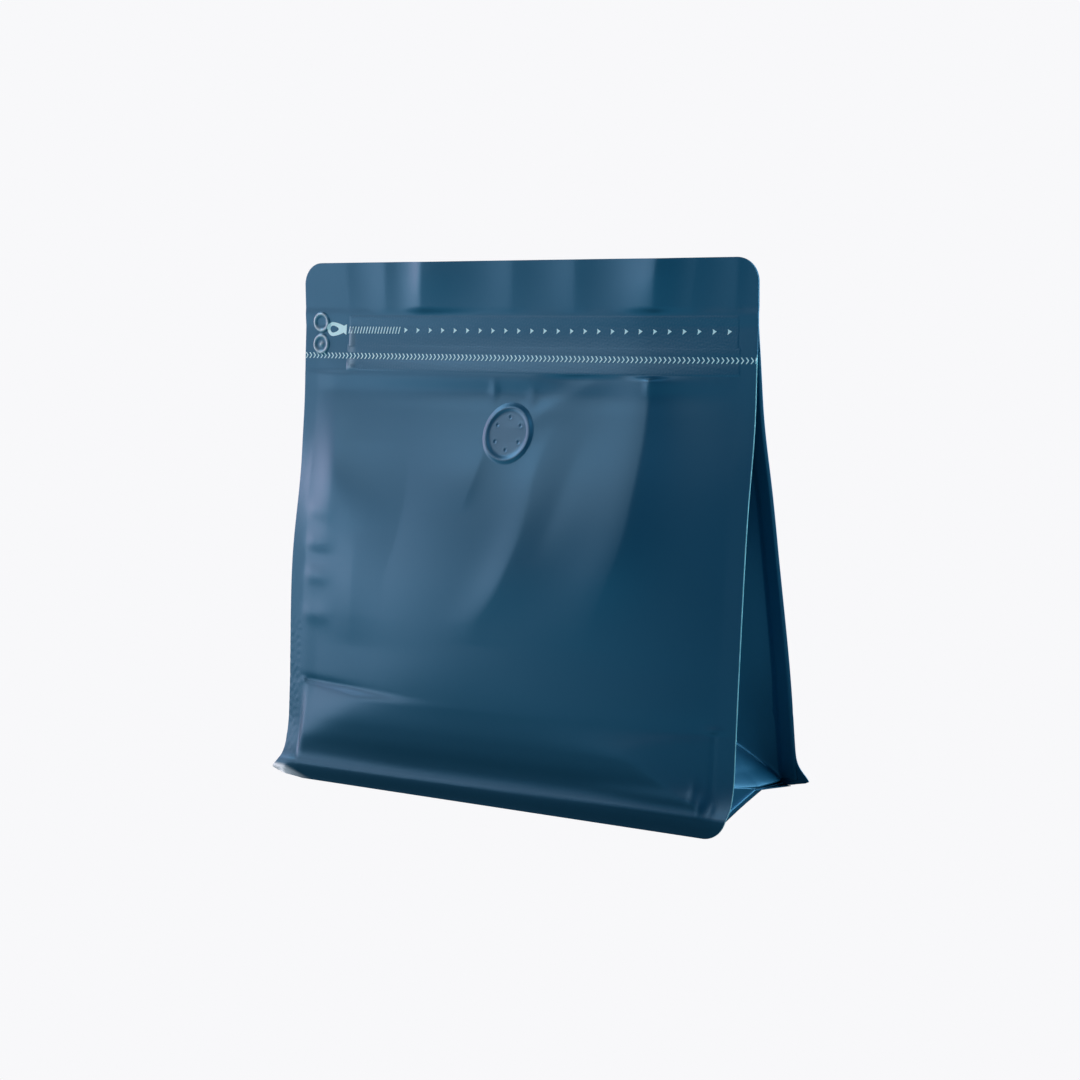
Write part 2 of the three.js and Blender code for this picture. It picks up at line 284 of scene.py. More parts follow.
def turn_right(x, z, front, rear):
    """The right seams: the front one is turned back, the rear one stands off to the back low down."""
    fin = np.maximum(0, x - SEAM_ROOT)
    return 0.15 * front * fin * ease(z, 8, 20) + 0.23 * rear * fin * (1 - ease(z, 40, 100))


def splay(x, z):
    """How much a point belongs to the front's bottom left tip, which is splayed over the floor."""
    return ease(-x, 88, 101) * np.exp(-(np.maximum(0, z - 3) / 3.2) ** 1.6)


def lean(points):
    """Leans and turns that every piece of the bag shares, as (..., 3) points.

    The upper right part of the bag bends back, and is drawn in to the left by a share of that. The front
    and the rear seams then go their own ways, and the front's bottom left tip curls out over the floor.
    """
    x, y, z = points[..., 0], points[..., 1], points[..., 2]
    front, rear = ease(-y, 0, 9), ease(y, 0, 9)
    back = BEND_SLOPE * BEND_SOFTNESS * np.logaddexp(0, (x - BEND_X) / BEND_SOFTNESS) * ease(z, 40, 130)
    tip = front * splay(x, z)
    curl = 0.45 * np.maximum(0, -95 - x) * np.exp(-z / 6) - 1.9 * np.exp(-z / 2.2)
    move_y = back + front * turn_left_front(x, z) + turn_right(x, z, front, rear) - 0.8 * tip
    move_y += front * ease(-x, 89, 96) * curl
    return points + np.stack([-BEND_DRAW * back - 4.2 * tip, move_y, 0 * z], -1)


print("seam depth at the floor", round(float(seam_depth(0.0)), 1), "mm, in the header",
      round(float(seam_depth(190.0)), 2), "mm")

# %% [markdown]
# ## Folds of the front
#
# These were read off the photograph one by one. In the header both panels wave as one sheet. Below the
# zipper, one ridge hangs from its right end, a long soft fold slants past the valve, and the left edge
# puckers beside its seam. Low down, the film still shows the line where the empty bag was folded flat.

# %% Header flutes, shared by both panels
FLUTE_POWER = 1.5
HEADER_LEVEL = 0.7
HEADER_FLUTES = (
    # crest as (z, x) knots, height at the top edge, reach to the left, reach to the right
    (((181, -78.0), (200, -79.5)), 0.3, 13.75, 5),
    (((181, -60.5), (200, -60.0)), 1.0, 7.5, 8.75),
    (((181, -43.0), (200, -41.0)), 3.4, 6.875, 21.25),
    (((181, -2.5), (200, -1.0)), 0.9, 10, 11.25),
    (((181, 25.0), (200, 26.0)), 0.9, 10, 8.75),
    (((181, 58.5), (200, 61.5)), 3.5, 11.25, 7.5),
    (((181, 73.0), (200, 76.5)), 0.8, 7.5, 7.5),
    (((181, 91.0), (200, 92.5)), 0.4, 6.25, 3.125),
)


def header_wave(x, z):
    """The waves of the header, in the direction of the front."""
    free = ease(z, 178.5, 197) * 0.55 + ease(z, 180, 183) * 0.45
    wave = sum(fold(x, z, *flute, FLUTE_POWER, FLUTE_POWER) for flute in HEADER_FLUTES)
    return free * (wave - HEADER_LEVEL)


# %% Folds, puckers and spots of the front
FRONT_FOLDS = {
    # crest as (z, x) knots, height as (z, height) knots, reach to the left, reach to the right, and the
    # power of either flank: a high power makes it round at its crest and short at its foot
    "ridge": (((70, 42), (85, 49.5), (100, 55), (120, 58), (140, 59), (158, 58.5)),
              ((62, 0), (78, 1.0), (90, 2.2), (120, 2.7), (150, 2.4), (158, 2.4)),
              ((80, 16), (120, 18), (158, 12)), ((80, 14), (120, 11), (158, 6)), 1.6, 1.3),
    "slanting": (((68, -5), (80, 4), (90, 9), (100, 13), (110, 15), (122, 16), (137, 20), (150, 30)),
                 ((60, 0), (74, 0.9), (86, 1.6), (100, 1.9), (118, 1.5), (137, 0.5), (150, 0)),
                 ((72, 10), (110, 9), (130, 9), (150, 12)), ((80, 18), (120, 22)), 1.7, 1.3),
    "streak": (((105, -16), (120, -11), (146, -5)),
               ((108, 0), (120, 0.8), (134, 0.5), (152, 0)), 16, 5, 1.5),
    "left band": (((80, -50), (110, -43), (140, -46)), ((66, 0), (105, -0.9), (150, 0)), 22, 14),
    "left edge": (((96, -81), (125, -79.5), (149, -85)),
                  ((88, 0), (122, 2.4), (151, 0.4)), 11, 11, 1.8, 1.5),
    "beside the valve": (((139, 8), (148, 20), (157, 36)),
                         ((134, 0), (146, 0.6), (157, 0.3)), 9, 11, 1.8, 1.8),
    "groove": (((94, 21), (110, 26), (135, 33)),
               ((90, 0), (108, -0.55), (122, -0.45), (142, 0)), 9, 7, 1.8, 1.6),
    "flat spot": (-68, ((84, 0), (108, 0.8), (132, 0)), 13, 15, 2.0, 2.0),
    "low left": (-66, ((54, 0), (72, 0.6), (86, 0.6), (98, 0)), 12, 14),
}
FRONT_FOLD_LINE = (
    # as above, with x and z changed about: the line runs along x
    ((-93, 38.4), (-49, 36.6), (93, 37)),
    ((-93, -0.7), (-60, -0.9), (-46, -0.3), (60, 0), (93, -0.3)),
    ((-93, 5), (-50, 5), (50, 9), (93, 4)), ((-93, 30), (-46, 30), (60, 4), (93, 4)), 1.15, 2.0,
)
FRONT_SPOTS = (
    # height, then centre and reach along x, then centre and reach along z
    (0.6, -91.8, 1.3, 38.0, 1.0),
    (0.35, -8, 2.0, 152, 3.6),
    (0.3, 9, 2.2, 150, 3),
)
SEAM_SPOTS = ((0.3, 92, 2.6, 37.5, 0.9), (0.35, 85.5, 1.4, 15, 4), (0.35, 88.5, 1.1, 10.5, 2.2),
              (0.35, 93, 1.0, 10.5, 2.2))
PUCKERS = ((105.0, 0.4), (92.3, 0.55), (79.5, 0.55), (64.5, 0.5))
PUCKER_REACH = 3.6


def all_folds(x, z, folds):
    """All the folds of a panel together."""
    return sum(fold(x, z, *shape) for shape in folds.values())


def all_spots(x, z, spots):
    """Small bumps of a round or oval outline together."""
    return sum(height * hump(x, at_x, reach_x) * hump(z, at_z, reach_z)
               for height, at_x, reach_x, at_z, reach_z in spots)


def left_puckers(x, z):
    """Small level puckers beside the left seam, where the gusset holds the panel back."""
    beside_seam = ease(x, -96, -88) * (1 - ease(x, -86, -74))
    return beside_seam * sum(height * hump(z, crest, PUCKER_REACH) for crest, height in PUCKERS)


def front_folds(x, z):
    """Everything that folds in the front panel between its skirt and the zipper.

    Apart from the listed folds, it swells a little over the skirt on the right, and is drawn taut under
    the zipper.
    """
    below_zipper = 1 - ease(z, ZIPPER_LOW_Z - 1.5, ZIPPER_LOW_Z)
    low_right = 0.7 * hump(z, 12.5, 3.0) * ease(x, 35, 80) * (1 - ease(x, 88, 93))
    taut = 1.1 * hump(z, 158.5, 5) * ease(x, 5, 30) * (1 - ease(x, 55, 60))
    film = all_folds(x, z, FRONT_FOLDS) + all_spots(x, z, FRONT_SPOTS) - taut
    beside_seam = ease(HALF_WIDTH - np.abs(x), SEAM_WIDTH, SEAM_WIDTH + 9)
    fold_line = fold(z, x, *FRONT_FOLD_LINE) * beside_seam
    return film * below_zipper + fold_line + low_right + left_puckers(x, z)


def seam_relief(x, z):
    """The welded corner seams: the bar's print on the left, a crease and small bumps on the right."""
    crease = -0.15 * hump(x, 92, 0.9) * ease(z, 14, 18) * (1 - ease(z, 35, 37))
    pressed = ease(-x, SEAM_ROOT, SEAM_ROOT + 1) * ease(z, 8, 11) * (1 - ease(z, 55, 66))
    relief = crease + all_spots(x, z, SEAM_SPOTS) + 0.05 * grain(x, z, 2.3, 5) * pressed
    return relief * (1 - ease(z, 150, 158))


FILM_SOFTNESS = 0.12
FILM_SINK = 0.08


def front_y(x, z):
    """Where the outer face of the front panel is. The front faces -Y.

    No fold takes the film further back than FILM_SINK behind its seams.
    """
    sloping_ledge = 1.1 * ease(x, -60, 95) * hump(z, 7, 5)
    film = swell(x, z) + front_folds(x, z)
    film = FILM_SOFTNESS * np.logaddexp(0, film / FILM_SOFTNESS) - FILM_SINK
    return -seam_depth(z - sloping_ledge) - film - seam_relief(x, z) - header_wave(x, z)


belly_y = float(front_y(np.array(0.0), np.array(FOLD_LINE_Z)))
print("the belly stands", round(-belly_y, 1), "mm in front of the middle plane")

# %% [markdown]
# ## Sheets
#
# Film is thin, so each panel is a closed sheet: a fine outer face, a coarser inner face that nobody
# sees, and a rim between them. The rim is the cut edge of the film and can get a finish of its own: on
# the front it is pale, and one strip of the face beside it gets it too, as a painted highlight line. Rows
# are spaced more closely where a corner is round, so that its arc stays smooth.

# %% Helpers for sheets
INNER_STEP = 2


def spread(*spans):
    """Values over several spans (from, to, steps), each span starting where the last one ended."""
    parts = [np.linspace(low, high, steps, endpoint=False) for low, high, steps in spans]
    return np.concatenate(parts + [np.array([spans[-1][1]])])


def enclosed_volume(mesh):
    """Signed volume of a closed mesh: negative when its faces point in."""
    mesh.calc_loop_triangles()
    corners = np.zeros(len(mesh.loop_triangles) * 3, np.int32)
    mesh.loop_triangles.foreach_get("vertices", corners)
    points = np.zeros(len(mesh.vertices) * 3)
    mesh.vertices.foreach_get("co", points)
    a, b, c = points.reshape(-1, 3)[corners.reshape(-1, 3)].transpose(1, 0, 2)
    return float(np.einsum("ij,ij->i", a, np.cross(b, c)).sum()) / 6


def closed_mesh(name, points, faces):
    """A mesh from points in millimetres, with its faces turned outwards."""
    mesh = bpy.data.meshes.new(name)
    mesh.from_pydata((np.array(points) * MM).tolist(), [], faces)
    mesh.update()
    if enclosed_volume(mesh) < 0:
        mesh.flip_normals()
    return mesh


def add_piece(name, mesh):
    """Puts a piece into the scene and prints what it measures."""
    piece = add_object(name, mesh)
    mesh.calc_loop_triangles()
    size = [round(value / MM, 1) for value in piece.dimensions]
    print(name, "has", len(mesh.loop_triangles), "triangles and measures", size, "mm")
    return piece


def quads(index):
    """The faces between the points of a grid, whose numbers are index."""
    return np.stack([index[:-1, :-1], index[:-1, 1:], index[1:, 1:], index[1:, :-1]], -1).reshape(-1, 4)


def edge_of(index):
    """The numbers of the points round the edge of a grid, with the first one again at the end."""
    sides = index[0, :-1], index[:-1, -1], index[-1, :0:-1], index[:0:-1, 0], index[:1, 0]
    return np.concatenate(sides).tolist()


def closed_sheet(name, outer, inner, step=1, pale=None):
    """A closed piece between two grids of points in millimetres. The inner grid has every step-th point.

    pale says, for each outer point, how much paler the film is painted there: welding marks on the
    strips, and painted highlights on the pull tab and the curled tip.
    """
    index = np.arange(outer[..., 0].size).reshape(outer.shape[:2])
    inner_index = np.arange(inner[..., 0].size).reshape(inner.shape[:2]) + index.size
    sides = quads(index).tolist() + quads(inner_index)[:, ::-1].tolist()
    near, far = edge_of(index), edge_of(inner_index)
    rim = [near[k * step:(k + 1) * step + 1][::-1] + far[k:k + 2] for k in range(len(far) - 1)]
    points = lean(np.concatenate([outer.reshape(-1, 3), inner.reshape(-1, 3)]))
    mesh = closed_mesh(name, points, sides + rim)
    on_rim = np.arange(len(sides + rim)) >= len(sides)
    mesh.polygons.foreach_set("use_smooth", ~on_rim)
    mesh.polygons.foreach_set("material_index", on_rim.astype(np.int32))
    if pale is not None:
        layer = mesh.attributes.new("pale", "FLOAT", "POINT")
        layer.data.foreach_set("value", np.append(pale.ravel(), np.zeros(len(points) - pale.size)))
    return add_piece(name, mesh)


print("a step of", INNER_STEP, "makes the unseen face four times lighter")

# %% The two panels
PANEL_COLUMNS = 272
EDGE_SHARE = 0.0011
EDGE_TOP_Z = 166.0
PANEL_ROWS = np.concatenate([
    BOTTOM_CORNER_RADIUS * (1 - np.cos(np.linspace(0, math.pi / 2, 24, endpoint=False))),
    spread((BOTTOM_CORNER_RADIUS, ZIPPER_LOW_Z, 184),
           (ZIPPER_LOW_Z, BAG_HEIGHT - TOP_CORNER_RADIUS, 44))[:-1],
    BAG_HEIGHT - TOP_CORNER_RADIUS * (1 - np.sin(np.linspace(0, math.pi / 2, 21))),
])
BACK_FOLDS = {
    # as for the front
    "long": (((60, 38), (110, 20), (156, 10)), ((50, 0), (100, 1.3), (156, 0.5)), 12, 7),
    "side": (((80, -52), (120, -46), (156, -50)), ((70, 0), (115, 1.4), (156, 0.8)), 6, 13),
    "hollow": (((70, -18), (130, -24)), ((64, 0), (100, -1.0), (140, 0)), 12, 9),
}
BACK_FOLD_LINE = (FOLD_LINE_Z + 0.5, ((-93, -0.5), (-40, 0), (50, 0), (93, -0.8)), 8, 20)


def back_folds(x, z):
    """The folds of the back, which nobody has pressed flat: milder than the front's."""
    below_zipper = 1 - ease(z, ZIPPER_LOW_Z - 10, ZIPPER_LOW_Z)
    fold_line = fold(z, x, *BACK_FOLD_LINE) * ease(HALF_WIDTH - np.abs(x), 6, 8)
    return all_folds(x, z, BACK_FOLDS) * below_zipper + fold_line + left_puckers(-x, z)


def zipper_seen_from_behind(x, z):
    """The zipper's welded band shows through the back panel as a low step."""
    across = ease(z, 158, 159.2) * (1 - ease(z, 167.6, 168.6)) + 0.5 * hump(z, ZIPPER_ROW_Z, 1.1)
    return 0.28 * across * ease(x, -79, -78) * (1 - ease(x, 92.5, 93.5))


def back_y(x, z):
    """Where the outer face of the back panel is. The back faces +Y."""
    depth = seam_depth(z) + swell(x, z) + back_folds(x, z) + zipper_seen_from_behind(x, z)
    root = -0.15 * hump(np.abs(x), SEAM_ROOT, 0.8) * (1 - ease(z, 150, 158))
    return depth + root - header_wave(x, z)


def panel_grid(left_reach, right_reach, depth_at, into_bag):
    """Outer and inner grid of a panel. into_bag is 1 where +Y leads into the bag and -1 where -Y does."""
    far_edge = 1 - EDGE_SHARE
    columns = spread((0, EDGE_SHARE, 1), (EDGE_SHARE, far_edge, PANEL_COLUMNS - 2), (far_edge, 1, 1))
    share, z = np.meshgrid(columns, PANEL_ROWS)
    x = -left_reach(z) * (1 - share) + right_reach(z) * share
    outer = np.stack([x, depth_at(x, z), z], -1)
    inner = outer[::INNER_STEP, ::INNER_STEP] + np.array([0, into_bag * FILM, 0])
    return outer, inner


def trim_edge_highlight(piece, column, top):
    """Paints a highlight line: one column of a panel's outer face gets the pale finish of a cut edge. Above
    top the rim gets none.
    """
    for row in np.flatnonzero(PANEL_ROWS[:-1] < top):
        piece.data.polygons[int(row) * PANEL_COLUMNS + column].material_index = 1
    for face in piece.data.polygons:
        if face.center.z > top * MM:
            face.material_index = 0


def curled_hem_highlight(points):
    """Where the front's bottom left tip curls up: a painted highlight, which also stands for its pale hem."""
    x, z = points[..., 0], points[..., 2]
    height = 0.6 + 3.8 * ease(-x, 86, 97)
    return ease(-x, 84, 94) * (1 - ease(z, height - 0.7, height + 0.9))


front_grids = panel_grid(front_left_reach, round_reach, front_y, 1)
# The curled tip is painted pale: a painted highlight, partly the film's pale hem.
front_panel = closed_sheet("front_panel", *front_grids, INNER_STEP, curled_hem_highlight(front_grids[0]))
back_panel = closed_sheet("back_panel", *panel_grid(round_reach, back_right_reach, back_y, -1), INNER_STEP)
# A painted highlight line along the front's right border, beside its pale cut edge.
trim_edge_highlight(front_panel, PANEL_COLUMNS - 1, EDGE_TOP_Z)

# %% [markdown]
# ## The folded sides
#
# A gusset is one long strip of film, folded inwards along its middle. Its two borders are welded to the
# panels, so it is drawn here as one sheet that runs from the cut edge in front, along the seam, in to
# the fold and back out again. Near the floor the fold spreads into a flat three-cornered foot.

# %% Gussets
GUSSET_HALF_WIDTH = 28.3
GUSSET_FOLD_FOOT_Z = 34.5
GUSSET_TOP_Z = 170.0
GUSSET_SHY = 0.25
END_SEAM_Z = 12.8
END_SEAM_TILT = 0.13
END_FLAP_EDGE_Z = 9.1
END_FLAP_RISE = 0.19
WEB_CROWN = 1.6
LIP_REACH = 2.6


def end_seam_height(y):
    """The seam where a gusset meets the end of the base: higher towards the front."""
    return END_SEAM_Z - END_SEAM_TILT * y + 0.14 * np.maximum(0, 3 - y)


def gusset_grid(side):
    """Outer and inner grid of one gusset; side is 1 on the right and -1 on the left."""
    border = spread((0, 1, 6))
    web = spread((-1, 1, 88))
    up = spread((0, 0.16, 36), (0.16, 1, 96))
    web_share, up_share = np.meshgrid(web, up)
    mouth_low = seam_depth(END_SEAM_Z) - FILM

    def web_points(outset):
        """The folded web between the two seams, with its flat foot."""
        low = end_seam_height(web_share * mouth_low)
        z = low * (1 - up_share) + GUSSET_TOP_Z * up_share
        mouth = seam_depth(z) - FILM
        folded = np.sqrt(GUSSET_HALF_WIDTH ** 2 - np.minimum(mouth, GUSSET_HALF_WIDTH - 0.1) ** 2)
        slope = folded / (GUSSET_FOLD_FOOT_Z - END_SEAM_Z)
        facet = (z - low) * slope
        crown = WEB_CROWN * np.sin(math.pi * np.abs(web_share)) * ease(z, 30, 60) * (1 - ease(z, 110, 165))
        web_depth = folded * (1 - np.abs(web_share)) - crown
        depth = softer_of(web_depth, facet, 0.5) + 0.3
        lip = LIP_REACH * (1 - ease(z - low, 0, 5.0)) * (1 - 0.75 * np.abs(web_share) ** 3)
        x = SEAM_ROOT - np.maximum(depth, 0) + lip * (1 - np.abs(web_share) ** 6) + outset
        round_share = 0.45 * web_share + 0.55 * np.sin(web_share * math.pi / 2)
        return np.stack([side * x, round_share * mouth, z - 0.7 * lip / LIP_REACH], -1)

    def border_points(which, outset):
        """The strip that is welded to a panel: which is -1 for the front and 1 for the back."""
        share, _ = np.meshgrid(border, up)
        if which < 0:
            share = 1 - share
        low = end_seam_height(which * mouth_low)
        z = low * (1 - up[:, None]) + GUSSET_TOP_Z * up[:, None] + 0 * share
        x = SEAM_ROOT + (SEAM_WIDTH - GUSSET_SHY) * share
        y = which * (seam_depth(z) - FILM - outset)
        if which > 0 and side > 0:
            x = np.minimum(x, back_right_reach(z) - GUSSET_SHY)
        return np.stack([side * x, y, z], -1)

    def whole(outset):
        """Front strip, web and rear strip side by side. outset moves the face out of the bag."""
        front = border_points(-1, outset)[:, :-1]
        rear = border_points(1, outset)[:, 1:]
        return np.concatenate([front, web_points(outset), rear], 1)

    return whole(FILM), whole(0)


right_gusset = closed_sheet("right_gusset", *gusset_grid(1))
left_gusset = closed_sheet("left_gusset", *gusset_grid(-1))

# %% [markdown]
# ## The base
#
# The base is a strip of film between the two skirts. It keeps the crease from when the bag lay flat, so
# it stands like a low roof, and at both ends it hangs out under the gusset as a short flap.

# %% Base and end flaps
BASE_RISE = 5.1
BASE_HALF_LENGTH = 96.5
BASE_WAVE = 0.25
FLANGE_HALF_LENGTH = 62.0
FLANGE_LOW_Z = 0.4
FLAP_OUTSET = 2.6
FLAP_HANG = 0.5


def roof_height(y):
    """Underside of the base, highest along its middle crease."""
    return SKIRT_HEIGHT + BASE_RISE * (1 - np.abs(y) / BASE_HALF_DEPTH)


def make_base():
    """The roof itself, with a flange down the inside of each skirt."""
    reach = float(seam_depth(SKIRT_HEIGHT)) - 2 * FILM
    roof = spread((-reach, 0, 20), (0, reach, 20))
    flange_z = np.linspace(FLANGE_LOW_Z, SKIRT_HEIGHT - 1, 6)
    flange_y = seam_depth(flange_z) - 2 * FILM
    y = np.concatenate([-flange_y, roof, flange_y[::-1]])
    z = np.concatenate([flange_z, roof_height(roof), flange_z[::-1]])
    x = np.linspace(-1, 1, 121)
    end = np.where(z < SKIRT_HEIGHT, FLANGE_HALF_LENGTH, BASE_HALF_LENGTH)
    grid_x = x[:, None] * end[None, :]
    wave = BASE_WAVE * np.sin(grid_x / 17) * (1 - np.abs(y) / BASE_HALF_DEPTH)
    under = np.stack([grid_x, y + 0 * grid_x, z + wave], -1)
    on_flange = z < SKIRT_HEIGHT - 0.9
    inward = np.where(on_flange, -np.sign(y) * FILM, 0)
    lift = np.where(on_flange, 0, FILM)
    above = under + np.stack([0 * grid_x, inward + 0 * grid_x, lift + 0 * grid_x], -1)
    return closed_sheet("base_panel", under, above)


def make_end_flap(name, side):
    """The flap under a gusset: two plies welded together, hanging from the end seam."""
    reach = float(seam_depth(1.5 * END_SEAM_Z)) - 3 * FILM
    y, share = np.meshgrid(np.linspace(-reach, reach, 81), np.linspace(0, 1, 13))
    top = end_seam_height(y) - 0.9
    edge = np.minimum(END_FLAP_EDGE_Z + END_FLAP_RISE * y, top - 0.3)
    z = edge * (1 - share) + top * share
    hang = FLAP_HANG * np.sin(y / 6.0) * (1 - share)
    x = SEAM_ROOT + FLAP_OUTSET - FLAP_HANG * (1 - share) + hang * 0.3
    outer = np.stack([side * x, y, z], -1)
    inner = outer - np.array([side * 2 * FILM, 0, 0])
    return closed_sheet(name, outer, inner)


base_panel = make_base()
right_end_flap = make_end_flap("right_end_flap", 1)
left_end_flap = make_end_flap("left_end_flap", -1)

# %% [markdown]
# ## What is welded into the front
#
# The zipper and the tear strip are separate strips under the film. The welding bar presses its grain
# into them, so they get a fine grid of their own, laid on the panel with edges that dive under it.

# %% Welded patches
ZIPPER_LEFT_X = -78.5
ZIPPER_RIGHT_X = 93.0
ZIPPER_HIGH_Z = 168.0
STRIP_HIGH_Z = 180.0
CHANNEL_Z = 164.3
ZIPPER_THICKNESS = 0.22
STRIP_THICKNESS = 0.2
PATCH_DEPTH = 0.5
SUNK = 0.12


def make_patch(name, x_values, z_values, relief, paleness):
    """A closed piece laid on the front panel; relief gives its height above the panel in millimetres."""
    x, z = np.meshgrid(x_values, z_values)
    surface = front_y(x, z)
    outer = np.stack([x, surface - relief(x, z), z], -1)
    inner = np.stack([x, surface + PATCH_DEPTH, z], -1)
    return closed_sheet(name, outer, inner[::INNER_STEP, ::INNER_STEP], INNER_STEP, paleness(x, z))


def between(value, low, high, edge):
    """1 between low and high, 0 outside, with soft edges."""
    return ease(value, low - edge, low) * (1 - ease(value, high, high + edge))


def zipper_relief(x, z):
    """The zipper's flange, its channel along its printed row, and its thicker left end."""
    inside = between(x, ZIPPER_LEFT_X, ZIPPER_RIGHT_X, 1.2)
    inside = inside * between(z, ZIPPER_LOW_Z + 0.6, ZIPPER_HIGH_Z, 1.6)
    channel = 0.18 * hump(z, CHANNEL_Z, 1.6)
    knurl = 0.015 * grain(x, z, 1.1, 3) * (1 - hump(z, CHANNEL_Z, 2.0))
    left_end = 0.3 * hump(x, ZIPPER_LEFT_X + 1.6, 1.8) * hump(z, 160.6, 1.5)
    return (ZIPPER_THICKNESS - channel + knurl + left_end) * inside - SUNK


def strip_relief(x, z):
    """The tear strip: thin, soft at its borders, with the bar's grain all over it."""
    inside = between(x, ZIPPER_LEFT_X + 1, ZIPPER_RIGHT_X - 1, 1.6)
    inside = inside * between(z, ZIPPER_HIGH_Z, STRIP_HIGH_Z - 1, 1.8)
    left_end = 0.2 * hump(x, ZIPPER_LEFT_X + 1.4, 1.2) * between(z, 168, 174, 2.0)
    pressed = between(z, 169, 179, 1.5) * ease(x, ZIPPER_LEFT_X, ZIPPER_LEFT_X + 2)
    return (STRIP_THICKNESS + left_end + 0.014 * grain(x, z, 1.2, 8) * pressed) * inside - SUNK


def bar_marks(x, z):
    """The welding bar leaves the strips' left ends paler, and a faint mottle elsewhere."""
    end = 0.1 * hump(x, ZIPPER_LEFT_X + 1.4, 1.6) * between(z, 160, 174, 1.5)
    return end + 0.012 * np.clip(grain(x, z, 0.9, 11), 0, 2)


patch_x = spread((ZIPPER_LEFT_X - 1.4, ZIPPER_RIGHT_X + 1.4, 540))
zipper_z = spread((ZIPPER_LOW_Z - 1.2, ZIPPER_HIGH_Z + 0.6, 34))
strip_z = spread((ZIPPER_HIGH_Z - 0.2, STRIP_HIGH_Z + 1, 42))
press_zipper = make_patch("zipper_band", patch_x, zipper_z, zipper_relief, bar_marks)
tear_strip = make_patch("tear_strip_film", patch_x, strip_z, strip_relief, bar_marks)

# %% The pull tab
TAB_X = -92.0
TAB_Z = 172.8
TAB_LOBE_RADIUS = 3.7
TAB_LOBE_OFFSET = 4.2
TAB_BUTTON_OFFSET = 0.2


def tab_distance(x, z):
    """Distance outside the tab's outline: two round lobes, one over the other, joined at a waist."""
    upper = np.hypot(x - TAB_X, z - TAB_Z - TAB_LOBE_OFFSET) - TAB_LOBE_RADIUS
    lower = np.hypot(x - TAB_X, z - TAB_Z + TAB_LOBE_OFFSET) - TAB_LOBE_RADIUS
    return softer_of(upper, lower, 0.35)


def tab_button(x, z, reach):
    """The button in the middle of the lower lobe."""
    return hump(np.hypot(x - TAB_X - TAB_BUTTON_OFFSET, z - TAB_Z + TAB_LOBE_OFFSET), 0, reach)


def tab_relief(x, z):
    """A raised rim round a plate that dips a little, with its button."""
    outside = tab_distance(x, z)
    plate = 0.3 * (1 - ease(outside, 0, 0.5))
    rim = 0.5 * hump(outside, -0.5, 0.75)
    return plate + rim + 0.4 * tab_button(x, z, 1.0) - SUNK


def tab_rim_highlight(x, z):
    """A painted highlight: the rim and the button are painted paler."""
    return 0.36 * hump(tab_distance(x, z), -0.5, 0.6) + 0.3 * tab_button(x, z, 0.9)


tab_x = spread((TAB_X - 5.5, TAB_X + 5.5, 70))
tab_z = spread((TAB_Z - 9.2, TAB_Z + 9.2, 116))
# The tab's rim and button carry a painted highlight.
pull_tab = make_patch("pull_tab_film", tab_x, tab_z, tab_relief, tab_rim_highlight)

# %% [markdown]
# ## The valve
#
# The valve is round, so its grid is round too: rings from the middle outwards and spokes across them. A
# square grid would leave its rim jagged. The film is drawn tight over it, which rounds every edge.

# %% Degassing valve
VALVE_X = 0.8
VALVE_Z = 137.0
VALVE_REACH = 11.7
VALVE_RINGS = 56
VALVE_SPOKES = 180
DIMPLE_COUNT = 6
DIMPLE_CIRCLE = 5.9
DIMPLE_DEPTH = 0.22
DIMPLE_BURR = 0.05
RIM_RADIUS = 9.4
RIM_HEIGHT = 0.6
DISC_HEIGHT = 0.2


def valve_relief(radius, angle):
    """Height of the film over the valve: a raised rim round a disc with a circle of dimples."""
    rim = RIM_HEIGHT * hump(radius, RIM_RADIUS, 1.1)
    disc = DISC_HEIGHT * (1 - ease(radius, 9.5, 11.2))
    dimples = 0
    for index in range(DIMPLE_COUNT):
        turn = (index + 0.5) * 2 * math.pi / DIMPLE_COUNT
        away = np.hypot(radius * np.cos(angle) - DIMPLE_CIRCLE * math.cos(turn),
                        radius * np.sin(angle) - DIMPLE_CIRCLE * math.sin(turn))
        dimples = dimples - DIMPLE_DEPTH * hump(away, 0, 0.5) + DIMPLE_BURR * hump(away, 0.9, 0.4)
    return disc + rim + dimples - SUNK * ease(radius, 10.8, 11.6)


def make_valve():
    """Two round grids, joined round their rim and closed at their centres."""
    radii = np.linspace(0, VALVE_REACH, VALVE_RINGS + 1)[1:]
    angles = np.arange(VALVE_SPOKES) * 2 * math.pi / VALVE_SPOKES
    angle, radius = np.meshgrid(angles, radii)
    x = VALVE_X + radius * np.cos(angle)
    z = VALVE_Z + radius * np.sin(angle)
    face = np.stack([x, front_y(x, z) - valve_relief(radius, angle), z], -1).reshape(-1, 3)
    behind = np.stack([x[-1], front_y(x[-1], z[-1]) + PATCH_DEPTH, z[-1]], -1)
    middle_y = float(front_y(np.array(VALVE_X), np.array(VALVE_Z)))
    middle = [[VALVE_X, middle_y - float(valve_relief(np.array(0.0), np.array(0.0))), VALVE_Z],
              [VALVE_X, middle_y + PATCH_DEPTH, VALVE_Z]]
    points = lean(np.concatenate([face, behind, middle]))
    last = len(points) - 1
    faces = []
    for spoke in range(VALVE_SPOKES):
        following = (spoke + 1) % VALVE_SPOKES
        faces.append((last - 1, spoke, following))
        for ring in range(VALVE_RINGS):
            low, high = ring * VALVE_SPOKES, (ring + 1) * VALVE_SPOKES
            faces.append((low + spoke, high + spoke, high + following, low + following))
        rim = VALVE_RINGS * VALVE_SPOKES
        faces.append((rim + spoke, last, rim + following))
    mesh = closed_mesh("valve_film", points, faces)
    mesh.polygons.foreach_set("use_smooth", np.ones(len(faces), bool))
    return add_piece("valve_film", mesh)


valve = make_valve()

